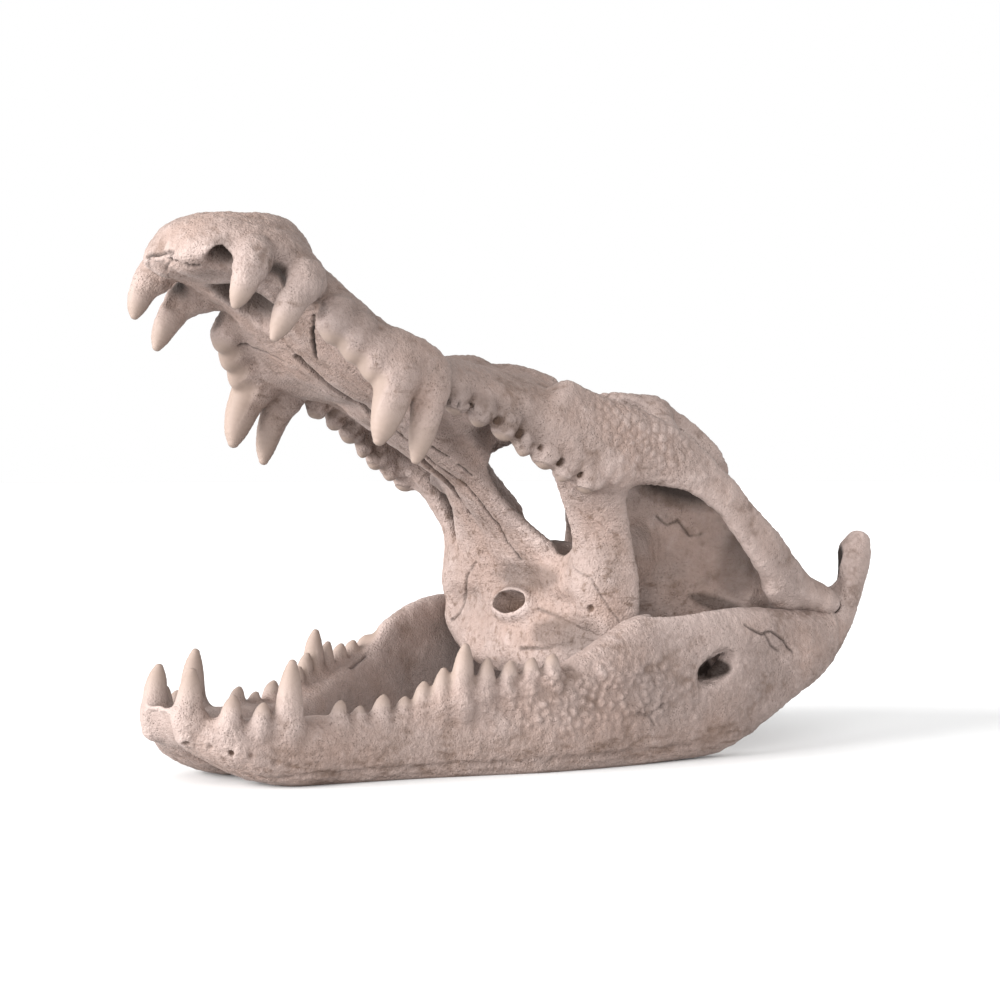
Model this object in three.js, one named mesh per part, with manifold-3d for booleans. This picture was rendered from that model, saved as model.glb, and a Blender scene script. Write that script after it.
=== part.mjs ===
// A crocodile skull with its lower jaw, mouth wide open, resting on the flat keels of the lower jaw.
// Millimetres, +Z up. The snout points along -X and the animal's left side is at -Y.
// The origin lies on the floor, under the middle of the whole skull.
import * as THREE from 'three';
import { mergeVertices } from 'three/addons/utils/BufferGeometryUtils.js';
import Module from 'manifold-3d';

const wasm = await Module();
wasm.setup();

// ---------------------------------------------------------------- driving dimensions
const JOINT_X = 219; // the jaw joint, where the upper jaw's own frame starts
const JOINT_Z = 99.5;
const GAPE = THREE.MathUtils.degToRad(22.5); // how far the upper jaw is tilted back
const SEAM = 0.35; // width of the cut between two bones
const FLOOR_CUT = 60; // depth of the block that trims the lower jaw flat

// The upper jaw's frame: u runs from the joint to the tip of the snout, w is up, square to it.
// Each profile is a list of [u, value] and is read as a smooth curve.
const SNOUT_TIP_U = 536;
const SNOUT_REAR_U = 222;
const HALF_WIDTH = profile([[222, 104], [262, 97], [300, 89], [335, 81], [362, 86], [388, 85], [414, 74],
  [442, 55], [466, 63], [484, 62], [502, 52], [518, 36], [530, 20], [536, 8]]);
const TOP = profile([[222, 72], [262, 66], [300, 58], [350, 52], [400, 57], [430, 69], [455, 78], [482, 75],
  [505, 67], [524, 55], [536, 43]]);
const TOOTH_EDGE = profile([[222, -4], [262, 0], [300, 7], [335, 8], [365, 1], [388, 2], [420, 16], [446, 25],
  [480, 30], [537, 28]]);
const BRAINCASE_HALF_WIDTH = profile([[74, 16], [84, 30], [98, 38], [112, 34], [128, 24], [144, 16],
  [160, 10]]);
const BRAINCASE_TOP = profile([[74, 44], [84, 62], [98, 74], [112, 78], [160, 78]]);
const BRAINCASE_LOW = profile([[74, -26], [84, -44], [98, -50], [112, -44], [127, -10], [144, 12],
  [160, 52]]);
const PALATE = profile([[222, -6], [262, -4], [300, -2], [342, 2], [406, 12], [450, 25], [500, 34],
  [537, 30]]);

// The lower jaw: one side, from the chin to the tip of the heel behind the joint.
// Each station is [middle x, middle z, half height, middle y, half thickness, lean in degrees].
const RAMUS = [
  [-263, 50, 7, 3, 5, 0], [-257, 43, 14, 8, 11, 0], [-247, 33, 17, 14, 18, 0], [-230, 23, 20, 24, 27, 0],
  [-190, 20, 22, 34, 29, 0], [-155, 19, 22, 46, 20, 0], [-120, 20, 22, 57, 16, 0], [-88, 24, 27, 69, 15, 0],
  [-36, 30, 33, 91, 14, 0], [-8, 34, 37, 98, 14, 0], [20, 44, 46, 103, 14, 0], [52, 49, 51, 107, 14, 0],
  [100, 51, 50, 112, 14, 2], [148, 59, 40, 115, 15, 6], [184, 68, 31, 114, 19, 10],
  [210, 74, 22, 109, 21, 16], [233, 94, 13, 110, 18, 42], [244, 115, 15, 112, 14, 68],
  [251, 133, 15, 114, 10, 78], [254, 146, 5, 115, 5, 82],
];

// Teeth, as [u or x, y, crown height, radius, lean forward, lean outward]; blunt ones barely show.
const UPPER_TEETH = [
  [496, 49, 33, 10, 3, 10], [459, 57, 38, 11.5, 9, 11], [431, 62, 9, 7.5, 0, 2], [416, 66, 9, 8, 0, 2],
  [401, 73, 11, 8, 0, 2], [384, 78, 42, 12.5, 0, 3], [359, 79, 43, 9, -4, 5], [333, 74, 9, 8, 0, 1],
  [312, 77, 9, 8, 0, 1], [295, 81, 10, 8, 0, 1], [278, 85, 11, 8, 0, 1], [262, 88, 10, 7.5, 0, 1],
  [246, 91, 9, 7, 0, 1],
];
const LOWER_TEETH = [
  [-251, 18, 20, 7.5, 5, 1], [-231, 38, 14, 6, 3, 1], [-215, 48, 12, 6, 2, 1], [-198, 53, 38, 10, 2, 2],
  [-163, 56, 10, 6, 2, 1], [-149, 57, 7, 5.5, 2, 1], [-133, 60, 12, 6.5, 2, 1], [-119, 64, 9, 6, 2, 1],
  [-107, 68, 15, 6.5, 2, 1], [-96, 74, 20, 7, 2, 1], [-84, 80, 33, 9, 2, 2], [-70, 86, 20, 7, 2, 1],
  [-55, 91, 13, 7, 2, 1], [-41, 96, 12, 7, 2, 1], [-27, 100, 12, 7, 2, 1],
];
const BIG_TOOTH = 18; // crowns taller than this get finer facets
const SOCKET_DEPTH = 12; // how far a tooth's root runs into the bone

// ---------------------------------------------------------------- shape tools
// A smooth curve through [x, value] pairs: cubic between them, flat past the ends.
function profile(points) {
  const slope = points.map((p, i) => {
    const before = points[Math.max(i - 1, 0)];
    const after = points[Math.min(i + 1, points.length - 1)];
    return (after[1] - before[1]) / (after[0] - before[0]);
  });
  return (x) => {
    const last = points.length - 1;
    const at = THREE.MathUtils.clamp(x, points[0][0], points[last][0]);
    let i = 0;
    while (i < last - 1 && at > points[i + 1][0]) i += 1;
    const span = points[i + 1][0] - points[i][0];
    const t = (at - points[i][0]) / span;
    const a = points[i][1];
    const b = points[i + 1][1];
    return a * (1 + 2 * t) * (1 - t) ** 2 + b * t * t * (3 - 2 * t)
      + span * (slope[i] * t * (1 - t) ** 2 - slope[i + 1] * t * t * (1 - t));
  };
}

// A closed three.js geometry as a solid, its doubled vertices merged.
function solid(geometry) {
  geometry.deleteAttribute('normal');
  geometry.deleteAttribute('uv');
  const merged = mergeVertices(geometry, 1e-3);
  return new wasm.Manifold(new wasm.Mesh({
    numProp: 3,
    vertProperties: merged.attributes.position.array,
    triVerts: new Uint32Array(merged.index.array),
  }));
}

// A cylinder whose rings are placed one by one. place(along, side, up) gives a point: along runs from
// 0 to 1, and side and up lie on the unit circle, or at 0 in the middle of an end.
function loft(rings, sides, place) {
  const geometry = new THREE.CylinderGeometry(1, 1, 1, sides, rings);
  const at = geometry.attributes.position;
  for (let i = 0; i < at.count; i += 1) {
    const p = place(at.getY(i) + 0.5, at.getX(i), -at.getZ(i));
    at.setXYZ(i, p.x, p.y, p.z);
  }
  return solid(geometry);
}

// Pushes a circle's coordinate towards a square: 1 stays round, smaller is boxier.
const boxy = (value, power) => Math.sign(value) * Math.abs(value) ** power;

// A strut along a smooth spine. Each station is [x, y, z, half width, half height], and the width lies
// along the given direction as nearly as the spine lets it.
function strut(stations, across, rings, sides, roundness = 0.8) {
  const spine = new THREE.CatmullRomCurve3(stations.map((s) => new THREE.Vector3(s[0], s[1], s[2])));
  const size = (k) => profile(stations.map((s, i) => [i, s[k]]));
  const width = size(3);
  const height = size(4);
  return loft(rings, sides, (along, side, up) => {
    const tangent = spine.getTangent(along);
    const over = across.clone().addScaledVector(tangent, -across.dot(tangent)).normalize();
    const rise = tangent.clone().cross(over);
    const station = along * (stations.length - 1);
    return spine.getPoint(along)
      .addScaledVector(over, width(station) * boxy(side, roundness))
      .addScaledVector(rise, height(station) * boxy(up, roundness));
  });
}

function ellipsoid(centre, radii, turn = [0, 0, 0], detail = 8) {
  const geometry = new THREE.SphereGeometry(1, detail, Math.round(detail * 0.6));
  geometry.scale(...radii);
  geometry.rotateX(turn[0]);
  geometry.rotateY(turn[1]);
  geometry.rotateZ(turn[2]);
  geometry.translate(...centre);
  return solid(geometry);
}

function block(low, high) {
  const geometry = new THREE.BoxGeometry(high[0] - low[0], high[1] - low[1], high[2] - low[2]);
  geometry.translate((high[0] + low[0]) / 2, (high[1] + low[1]) / 2, (high[2] + low[2]) / 2);
  return solid(geometry);
}

const join = (solids) => solids.reduce((whole, one) => whole.add(one));

// A solid as three.js geometry, and the same solid in another place.
function geometryOf(shape) {
  const made = shape.getMesh();
  const geometry = new THREE.BufferGeometry();
  geometry.setAttribute('position', new THREE.BufferAttribute(made.vertProperties, 3));
  geometry.setIndex(new THREE.BufferAttribute(made.triVerts, 1));
  return geometry;
}
const moved = (shape, matrix) => solid(geometryOf(shape).applyMatrix4(matrix));

// A tooth from the middle of its root to its tip.
function tooth(root, tip, radius, crown) {
  const axis = new THREE.Vector3().subVectors(tip, root);
  const length = axis.length();
  const turn = new THREE.Quaternion().setFromUnitVectors(new THREE.Vector3(0, 1, 0), axis.normalize());
  const [rings, sides] = crown > BIG_TOOTH ? [3, 5] : [1, 4];
  return loft(rings, sides, (along, side, up) => {
    const girth = radius * Math.sqrt(Math.max(1 - along ** 1.9, 0.012));
    const p = new THREE.Vector3(side * girth, along * length, -up * girth);
    return p.applyQuaternion(turn).add(root);
  });
}

// Makes the same thing on the animal's left (-1) and right (+1) and joins the two.
const bothSides = (make) => make(-1).add(make(1));

// ---------------------------------------------------------------- the upper jaw and braincase
const U = (u) => -u; // the frame's x for a distance u in front of the joint
const SIDEWAYS = new THREE.Vector3(0, 1, 0);
const UPWARDS = new THREE.Vector3(0, 0, 1);
const BACKWARDS = new THREE.Vector3(1, 0, 0);

function snout() {
  return loft(13, 12, (along, side, up) => {
    const u = THREE.MathUtils.lerp(SNOUT_TIP_U, SNOUT_REAR_U, along ** 1.3);
    const across = boxy(side, 0.78);
    const edge = TOOTH_EDGE(u);
    const arch = (PALATE(u) - edge) * (1 - across ** 2) ** 0.6;
    const middle = edge + 0.35 * (TOP(u) - edge);
    const height = up > 0 ? (TOP(u) - middle) * boxy(up, 0.9) : (middle - edge) * boxy(up, 0.6) - arch * up;
    return new THREE.Vector3(U(u), HALF_WIDTH(u) * across, middle + height);
  });
}

function upperTeeth(side) {
  return join(UPPER_TEETH.map(([u, y, crown, radius, forward, outward]) => {
    const w = TOOTH_EDGE(u);
    const root = new THREE.Vector3(U(u), side * y, w + SOCKET_DEPTH);
    const tip = new THREE.Vector3(U(u + forward), side * (y + outward), w - crown);
    return tooth(root, tip, radius, crown);
  }));
}

// The long bar under the eye and the temple, from the snout to the joint.
function cheekBar(side) {
  return strut([
    [U(258), side * 90, 30, 12, 27], [U(232), side * 95, 31, 14, 33], [U(205), side * 102, 37, 13, 29],
    [U(175), side * 109, 41, 11, 20], [U(150), side * 113, 37, 10.5, 17], [U(126), side * 116, 31, 10.5, 17],
    [U(100), side * 117, 20, 10.5, 21], [U(78), side * 117, 9, 11, 24], [U(56), side * 115, 5, 12, 21],
    [U(34), side * 112, 2, 15, 14], [U(14), side * 110, 1, 18, 9],
  ], SIDEWAYS, 10, 8, 0.8);
}

// The lower edge of the bar behind the bite muscle's opening, level with the top of the lower jaw.
function cheekHeel(side) {
  return strut([
    [U(74), side * 115, -15, 10, 11], [U(58), side * 114, -9, 12, 13], [U(38), side * 111, -4, 15, 10],
    [U(16), side * 108, 0, 18, 7],
  ], SIDEWAYS, 3, 8, 0.7);
}

function table() {
  return strut([
    [U(196), 0, 74, 22, 6], [U(176), 0, 78, 40, 7], [U(158), 0, 86, 52, 9], [U(142), 0, 88, 59, 11],
    [U(122), 0, 82, 65, 11], [U(102), 0, 75, 70, 10], [U(92), 0, 71, 60, 8],
  ], SIDEWAYS, 5, 10, 0.62);
}

// The bridge between the eyes, from the snout to the skull table.
function browBridge() {
  return strut([
    [U(300), 0, 44, 34, 13], [U(250), 0, 58, 36, 13], [U(215), 0, 68, 24, 10], [U(170), 0, 76, 26, 11],
  ], SIDEWAYS, 4, 8, 0.8);
}

function postorbitalBar(side) {
  return strut([
    [U(150), side * 50, 84, 9, 8], [U(158), side * 76, 70, 8, 7], [U(168), side * 96, 54, 8, 7],
    [U(172), side * 107, 40, 8, 8],
  ], BACKWARDS, 3, 6, 1);
}

function braincase() {
  const core = loft(6, 8, (along, side, up) => {
    const u = THREE.MathUtils.lerp(160, 74, along);
    const [low, high] = [BRAINCASE_LOW(u), BRAINCASE_TOP(u)];
    const w = (low + high) / 2 + (high - low) / 2 * boxy(up, 0.75);
    return new THREE.Vector3(U(u), BRAINCASE_HALF_WIDTH(u) * boxy(side, 0.75), w);
  });
  return core.add(ellipsoid([U(76), 0, 24], [12, 12, 10]));
}

function quadrate(side) {
  return strut([
    [U(122), side * 30, 42, 32, 14], [U(96), side * 50, 36, 32, 15], [U(66), side * 72, 22, 26, 15],
    [U(36), side * 92, 9, 17, 16], [U(14), side * 104, 2, 9, 18],
  ], UPWARDS, 4, 8, 0.8);
}

// The roller at the lower end of the quadrate, on which the jaws turn.
function condyle(side, clearance = 0) {
  const radii = [13 + clearance, 21 + clearance, 11 + clearance];
  return ellipsoid([U(4), side * 109, 0], radii);
}

// The wall that joins the wing of the palate to the quadrate, behind the bite muscle's opening.
function pterygoidWall(side) {
  return strut([
    [U(158), side * 62, -56, 34, 10], [U(130), side * 48, -42, 40, 12], [U(104), side * 44, -28, 42, 13],
    [U(80), side * 58, -21, 35, 12], [U(52), side * 82, -8, 27, 10],
  ], UPWARDS, 5, 6, 0.8);
}

function palatineBar() {
  return strut([
    [U(330), 0, 12, 40, 13], [U(285), 0, 0, 26, 11], [U(252), 0, -8, 23, 6.5], [U(229), 0, -16, 22, 6],
    [U(209), 0, -23, 22, 6.5], [U(187), 0, -34, 30, 9], [U(165), 0, -46, 44, 15],
  ], SIDEWAYS, 7, 8, 0.75);
}

// The wing-shaped plate that hangs behind the palate.
function pterygoidPlate() {
  return loft(5, 10, (along, side, up) => {
    const across = boxy(side, 0.7);
    const w = THREE.MathUtils.lerp(-34, -108, along) + 18 * Math.abs(across) ** 2.5 * along;
    const half = 30 + 56 * Math.sin(Math.PI * Math.min(0.15 + along * 0.62, 1)) - 12 * along ** 4;
    const taper = along > 0.85 ? 1 - 2.5 * (along - 0.85) : 1;
    const depth = (19 + 4 * Math.sin(Math.PI * along)) * (1 - 0.35 * Math.abs(across) ** 3) * taper;
    const middle = 153 + 9 * (1 - along);
    return new THREE.Vector3(U(middle) + depth * boxy(up, 0.8), half * across, w);
  });
}

function ectopterygoid(side) {
  return strut([
    [U(218), side * 88, 10, 15, 8], [U(209), side * 83, -2, 20, 7.5], [U(190), side * 77, -18, 19, 7],
    [U(178), side * 75, -34, 19, 7], [U(167), side * 80, -56, 18, 7], [U(160), side * 83, -70, 14, 5],
  ], new THREE.Vector3(0.8, side * 0.6, 0), 5, 6, 0.85);
}

function upperHollows() {
  const nostril = ellipsoid([U(480), 0, 80], [20, 18, 18]);
  const incisivePit = ellipsoid([U(462), 0, 20], [21, 11, 14]);
  const spinalHole = ellipsoid([U(78), 0, 46], [14, 12, 11]);
  const eyes = bothSides((side) => ellipsoid([U(205), side * 62, 52], [37, 33, 44], [0, 0, side * -0.2]));
  const palateGap = (side) => ellipsoid([U(236), side * 52, -2], [64, 27, 34], [0, -0.1, side * 0.2]);
  const temples = bothSides((side) => ellipsoid([U(128), side * 33, 88], [16, 13, 20]));
  const nasalDuct = ellipsoid([U(222), 0, 22], [46, 54, 36]);
  return join([nostril, incisivePit, spinalHole, eyes, bothSides(palateGap), temples, nasalDuct]);
}

function upperWhole() {
  const walls = [bothSides(quadrate), bothSides(pterygoidWall)];
  const roof = join([snout(), table(), browBridge(), braincase(), ...walls]).subtract(upperHollows());
  const paired = [cheekBar, cheekHeel, postorbitalBar, ectopterygoid, condyle, upperTeeth];
  const choana = ellipsoid([U(178), 0, -71], [16, 11, 8]);
  const struts = join(paired.map((make) => bothSides((side) => make(side))));
  return join([roof, struts, palatineBar(), pterygoidPlate()]).subtract(choana);
}

// ---------------------------------------------------------------- the lower jaw
function ramus(side) {
  const value = (k) => profile(RAMUS.map((s, i) => [i, s[k]]));
  const [x, z, height, middle, thickness, lean] = [0, 1, 2, 3, 4, 5].map(value);
  return loft(17, 8, (along, sideways, up) => {
    const station = along * (RAMUS.length - 1);
    const tilt = THREE.MathUtils.degToRad(lean(station));
    const rise = height(station) * boxy(up, 0.75);
    const y = side * middle(station) + thickness(station) * boxy(sideways, 0.75);
    return new THREE.Vector3(x(station) - rise * Math.sin(tilt), y, z(station) + rise * Math.cos(tilt));
  });
}

// The top of the lower jaw's tooth-bearing part at a given x.
const RAMUS_TOP = profile(RAMUS.filter((s) => s[5] === 0).map((s) => [s[0], s[1] + s[2]]));

function lowerTeeth(side) {
  return join(LOWER_TEETH.map(([x, y, crown, radius, backward, outward]) => {
    const z = RAMUS_TOP(x);
    const root = new THREE.Vector3(x, side * y, z - SOCKET_DEPTH);
    const tip = new THREE.Vector3(x + backward, side * (y + outward), z + crown);
    return tooth(root, tip, radius, crown);
  }));
}

function lowerHollows(side) {
  const muscleSlot = ellipsoid([104, side * 109, 92], [50, 8, 38]);
  const sideWindow = ellipsoid([97, side * 124, 61], [13, 14, 5], [0, -0.45, 0]);
  return muscleSlot.add(sideWindow);
}

function lowerWhole() {
  const floor = block([-400, -300, -FLOOR_CUT], [400, 300, 0]);
  return bothSides(ramus).subtract(bothSides(lowerHollows)).add(bothSides(lowerTeeth)).subtract(floor);
}

// ---------------------------------------------------------------- parting into bones
const FAR = 900;

// Cuts a whole into named bones. Each bone is what lies inside its own blocks and outside the blocks of
// the bones before it, less the seam between them.
function part(whole, bones) {
  let rest = whole;
  return bones.map(([name, blocks]) => {
    const bone = rest.intersect(join(blocks.map(([low, high]) => block(low, high))));
    const grown = blocks.map(([low, high]) => block(low.map((v) => v - SEAM), high.map((v) => v + SEAM)));
    rest = rest.subtract(join(grown));
    return [name, bone];
  });
}

// A pair of bones from blocks given for the right side, where y runs from the middle out.
const pair = (name, blocks) => [
  [`${name}_left`, blocks.map(([low, high]) => [[low[0], -high[1], low[2]], [high[0], -low[1], high[2]]])],
  [`${name}_right`, blocks],
];

const UPPER_BONES = [
  ['premaxillae', [[[U(FAR), -FAR, -FAR], [U(440), FAR, FAR]]]],
  ['maxillae', [[[U(FAR), -FAR, -FAR], [U(221), FAR, FAR]]]],
  ['skull_roof', [[[U(FAR), -78, 46], [FAR, 78, FAR]]]],
  ...pair('jugal', [[[U(FAR), 78, -6], [U(130), FAR, FAR]], [[U(131), 96, -6], [U(66), FAR, FAR]]]),
  ...pair('ectopterygoid', [[[U(FAR), 60, -FAR], [U(150), FAR, FAR]]]),
  ...pair('quadrate', [[[U(112), 42, -16], [FAR, FAR, FAR]], [[U(80), 78, -FAR], [FAR, FAR, FAR]]]),
  ['braincase', [[[U(190), -FAR, -16], [FAR, FAR, FAR]], [[U(128), -FAR, -FAR], [FAR, FAR, FAR]]]],
  ['palate', [[[U(FAR), -FAR, -FAR], [FAR, FAR, FAR]]]],
];

const LOWER_BONES = [
  ...pair('dentary', [[[-FAR, SEAM / 2, -FAR], [14, FAR, FAR]]]),
  ...pair('angular', [[[-FAR, SEAM / 2, -FAR], [168, FAR, FAR]]]),
  ...pair('articular', [[[-FAR, SEAM / 2, -FAR], [FAR, FAR, FAR]]]),
];

const BONE = { color: 0xc9b9ac, roughness: 0.72, metalness: 0 };

function boneMesh([name, shape]) {
  const mesh = new THREE.Mesh(geometryOf(shape), new THREE.MeshStandardMaterial(BONE));
  mesh.name = name;
  return mesh;
}

// The joint's rollers sit in seats cut into the lower jaw, with a little room round them.
const upperPose = new THREE.Matrix4().makeRotationY(GAPE).setPosition(JOINT_X, 0, JOINT_Z);
const jointSeats = moved(bothSides((side) => condyle(side, 1)), upperPose);

const skull = new THREE.Group();
const upperJaw = new THREE.Group();
upperJaw.applyMatrix4(upperPose);
upperJaw.add(...part(upperWhole(), UPPER_BONES).map(boneMesh));
skull.add(upperJaw, ...part(lowerWhole().subtract(jointSeats), LOWER_BONES).map(boneMesh));

export default skull;
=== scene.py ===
"""A crocodile's skull and lower jaw with the mouth wide open, sculpted, finished and lit.

Each jaw is sculpted as distances on a grid, in millimetres, from the same measures as its solids. The
surface is then drawn off as a mesh, roughened, marked with what its finish needs and turned into place.
"""
from __future__ import annotations

import logging
import math
from dataclasses import dataclass, field
from enum import Enum
from typing import Callable, Sequence

import bpy
import numpy as np
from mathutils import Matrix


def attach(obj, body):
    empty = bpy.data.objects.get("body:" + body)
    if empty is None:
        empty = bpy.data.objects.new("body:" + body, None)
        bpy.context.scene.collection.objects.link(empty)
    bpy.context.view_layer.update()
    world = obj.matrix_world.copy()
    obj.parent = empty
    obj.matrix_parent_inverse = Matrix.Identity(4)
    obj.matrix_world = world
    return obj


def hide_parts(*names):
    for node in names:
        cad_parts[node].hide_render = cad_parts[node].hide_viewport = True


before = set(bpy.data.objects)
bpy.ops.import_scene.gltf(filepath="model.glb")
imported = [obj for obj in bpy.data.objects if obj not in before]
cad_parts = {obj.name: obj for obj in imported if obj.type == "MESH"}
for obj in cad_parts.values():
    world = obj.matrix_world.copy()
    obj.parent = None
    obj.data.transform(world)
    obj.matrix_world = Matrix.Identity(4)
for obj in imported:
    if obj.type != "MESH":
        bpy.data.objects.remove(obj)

import openvdb
from mathutils import Matrix, Vector

log = logging.getLogger("skull")

MM = 0.001
EMPTY = 60.0
BODY = "root"

Array = np.ndarray
Point = Sequence[float]
Lump = tuple[Array, Array, Callable[[Array, Array, Array], Array]]


# ---------------------------------------------------------------- measuring tools
@dataclass(frozen=True)
class Profile:
    """A smooth curve through (place, value) pairs, flat past its ends."""

    points: Sequence[tuple[float, float]]

    def __call__(self, at: Array | float) -> Array:
        """Reads the curve.

        Args:
            at: the places to read.
        Returns:
            The values there.
        """
        x = np.array([p[0] for p in self.points], float)
        v = np.array([p[1] for p in self.points], float)
        slope = np.empty_like(v)
        slope[1:-1] = (v[2:] - v[:-2]) / (x[2:] - x[:-2])
        slope[0] = (v[1] - v[0]) / (x[1] - x[0])
        slope[-1] = (v[-1] - v[-2]) / (x[-1] - x[-2])
        a = np.clip(at, x[0], x[-1])
        i = np.clip(np.searchsorted(x, a, side="right") - 1, 0, len(x) - 2)
        span = x[i + 1] - x[i]
        t = (a - x[i]) / span
        return (v[i] * (1 + 2 * t) * (1 - t) ** 2 + v[i + 1] * t * t * (3 - 2 * t)
                + span * (slope[i] * t * (1 - t) ** 2 - slope[i + 1] * t * t * (1 - t)))


def swell(offsets: Sequence[Array], radii: Sequence[Array | float], power: float = 2.0) -> Array:
    """Distance to a stretched ball, good near its surface.

    Args:
        offsets: the point's offset from the centre along each of the ball's own axes.
        radii: the ball's radius along each.
        power: 2 for an ellipsoid, more for a boxier form.
    Returns:
        The distance, negative inside.
    """
    parts = [np.abs(o) / r for o, r in zip(offsets, radii)]
    level = np.maximum(sum(p ** power for p in parts), 1e-6) ** (1 / power)
    steep = np.sqrt(sum((p ** (power - 1) / r) ** 2 for p, r in zip(parts, radii))) * level ** (1 - power)
    return np.clip((level - 1) / np.maximum(steep, 1e-4), -EMPTY, EMPTY)


def join(a: Array, b: Array, blend: float) -> Array:
    """Union of two distance fields with a fillet of about the given size."""
    near = np.clip(blend - np.abs(a - b), 0, None) / blend
    return np.minimum(a, b) - near * near * blend / 4


def part(a: Array, b: Array, blend: float) -> Array:
    """What is in both distance fields, with a rounded edge of about the given size."""
    return -join(-a, -b, blend)


# ---------------------------------------------------------------- forms
@dataclass(frozen=True)
class Egg:
    """A stretched ball, turned about the third axis (yaw) and then the second (pitch), in radians."""

    centre: Point
    radii: Point
    yaw: float = 0.0
    pitch: float = 0.0
    power: float = 2.0

    def lumps(self) -> list[Lump]:
        """Lays out the egg.

        Returns:
            Its one lump.
        """
        c = np.array(self.centre, float)
        reach = max(self.radii)
        cy, sy = math.cos(self.yaw), math.sin(self.yaw)
        cp, sp = math.cos(self.pitch), math.sin(self.pitch)

        def distance(x: Array, y: Array, z: Array) -> Array:
            """Distance to the egg's surface."""
            dx, dy, dz = x - c[0], y - c[1], z - c[2]
            ax, ay = dx * cy + dy * sy, dy * cy - dx * sy
            return swell((ax * cp - dz * sp, ay, dz * cp + ax * sp), self.radii, self.power)

        return [(c - reach, c + reach, distance)]


@dataclass(frozen=True)
class Strut:
    """A bar along a smooth spine. Each station is (x, y, z, half width, half height)."""

    stations: Sequence[Point]
    across: Point = (0.0, 1.0, 0.0)
    power: float = 2.3
    steps: int = 5

    def spine(self) -> Array:
        """Smooths the bar's course.

        Returns:
            The stations with smooth ones put in between them.
        """
        s = np.array(self.stations, float)
        places = np.linspace(0, len(s) - 1, (len(s) - 1) * self.steps + 1)
        return np.stack([Profile(list(enumerate(s[:, k])))(places) for k in range(5)], 1)

    def lumps(self) -> list[Lump]:
        """One lump for each short length of the bar."""
        spine = self.spine()
        return [self._length(a, b) for a, b in zip(spine[:-1], spine[1:])]

    def _length(self, a: Array, b: Array) -> Lump:
        """Lays out one short length.

        Args:
            a: the station that it starts from.
            b: the station that it ends at.
        Returns:
            Its lump.
        """
        along = b[:3] - a[:3]
        length = float(np.linalg.norm(along))
        along = along / length
        over = np.array(self.across, float)
        over = over - along * (over @ along)
        over /= np.linalg.norm(over)
        rise = np.cross(along, over)
        reach = max(a[3:].max(), b[3:].max())

        def distance(x: Array, y: Array, z: Array) -> Array:
            """Measures this length.

            Args:
                x: places along the first axis.
                y: places along the second.
                z: places along the third.
            Returns:
                The distance to its surface.
            """
            dx, dy, dz = x - a[0], y - a[1], z - a[2]
            run = dx * along[0] + dy * along[1] + dz * along[2]
            t = np.clip(run / length, 0, 1)
            wide = a[3] + (b[3] - a[3]) * t
            high = a[4] + (b[4] - a[4]) * t
            offsets = (dx * over[0] + dy * over[1] + dz * over[2],
                       dx * rise[0] + dy * rise[1] + dz * rise[2], run - t * length)
            return swell(offsets, (wide, high, np.minimum(wide, high)), self.power)

        return np.minimum(a[:3], b[:3]) - reach, np.maximum(a[:3], b[:3]) + reach, distance


@dataclass(frozen=True)
class Tooth:
    """A curved cone from its root to its tip, rounded at the end."""

    root: Point
    tip: Point
    radius: float
    bend: Point = (0.0, 0.0, 0.0)
    taper: float = 1.9
    thin: float = 0.92
    blunt: float = 0.95

    def lumps(self) -> list[Lump]:
        """Lays out the tooth as a bar whose radius falls to the tip.

        Returns:
            The bar's lumps.
        """
        root, tip, bend = (np.array(v, float) for v in (self.root, self.tip, self.bend))
        stations = []
        for t in np.linspace(0, self.blunt, 8):
            place = root + (tip - root) * t + bend * 4 * t * (1 - t)
            girth = self.radius * math.sqrt(1 - t ** self.taper)
            stations.append((*place, girth * self.thin, girth))
        return Strut(stations, across=(0.15, 1.0, 0.1), power=2.0, steps=2).lumps()


@dataclass(frozen=True)
class Hull:
    """A body given by profiles along one axis: its middle and half size across, its low and its top."""

    low_end: float
    high_end: float
    half: Profile
    low: Profile
    top: Profile
    middle: Profile = Profile([(0, 0), (1, 0)])
    waist: float = 0.35
    power: float = 2.4
    floor: Callable[[Array, Array], Array] | None = None
    edge: float = 5.0
    mirrored: bool = False
    skirt: float = 20.0

    def lumps(self) -> list[Lump]:
        """Lays out the body, measured to a skirt below its low.

        Returns:
            Its one lump.
        """
        along = np.linspace(self.low_end, self.high_end, 60)
        side = float((np.abs(self.middle(along)) + self.half(along)).max())
        low = np.array([self.low_end, -side, float(self.low(along).min()) - self.skirt])
        high = np.array([self.high_end, side, float(self.top(along).max())])
        return [(low, high, self._distance)]

    def _distance(self, x: Array, y: Array, z: Array) -> Array:
        """Measures the body.

        Args:
            x: places along it.
            y: places across it.
            z: heights.
        Returns:
            The distance to its surface.
        """
        half, low, top = self.half(x), self.low(x), self.top(x)
        level = low + self.waist * (top - low)
        rise = z - level
        tall = np.where(rise > 0, top - level, level - low)
        found = swell((y - self.middle(x), rise), (half, tall), self.power)
        if self.mirrored:
            found = join(found, swell((y + self.middle(x), rise), (half, tall), self.power), self.edge)
        if self.floor is not None:
            found = part(found, self.floor(x, y) - z, self.edge)
        ends = np.maximum(self.low_end - x, x - self.high_end)
        return part(found, np.broadcast_to(ends, found.shape), 2.0)


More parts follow.
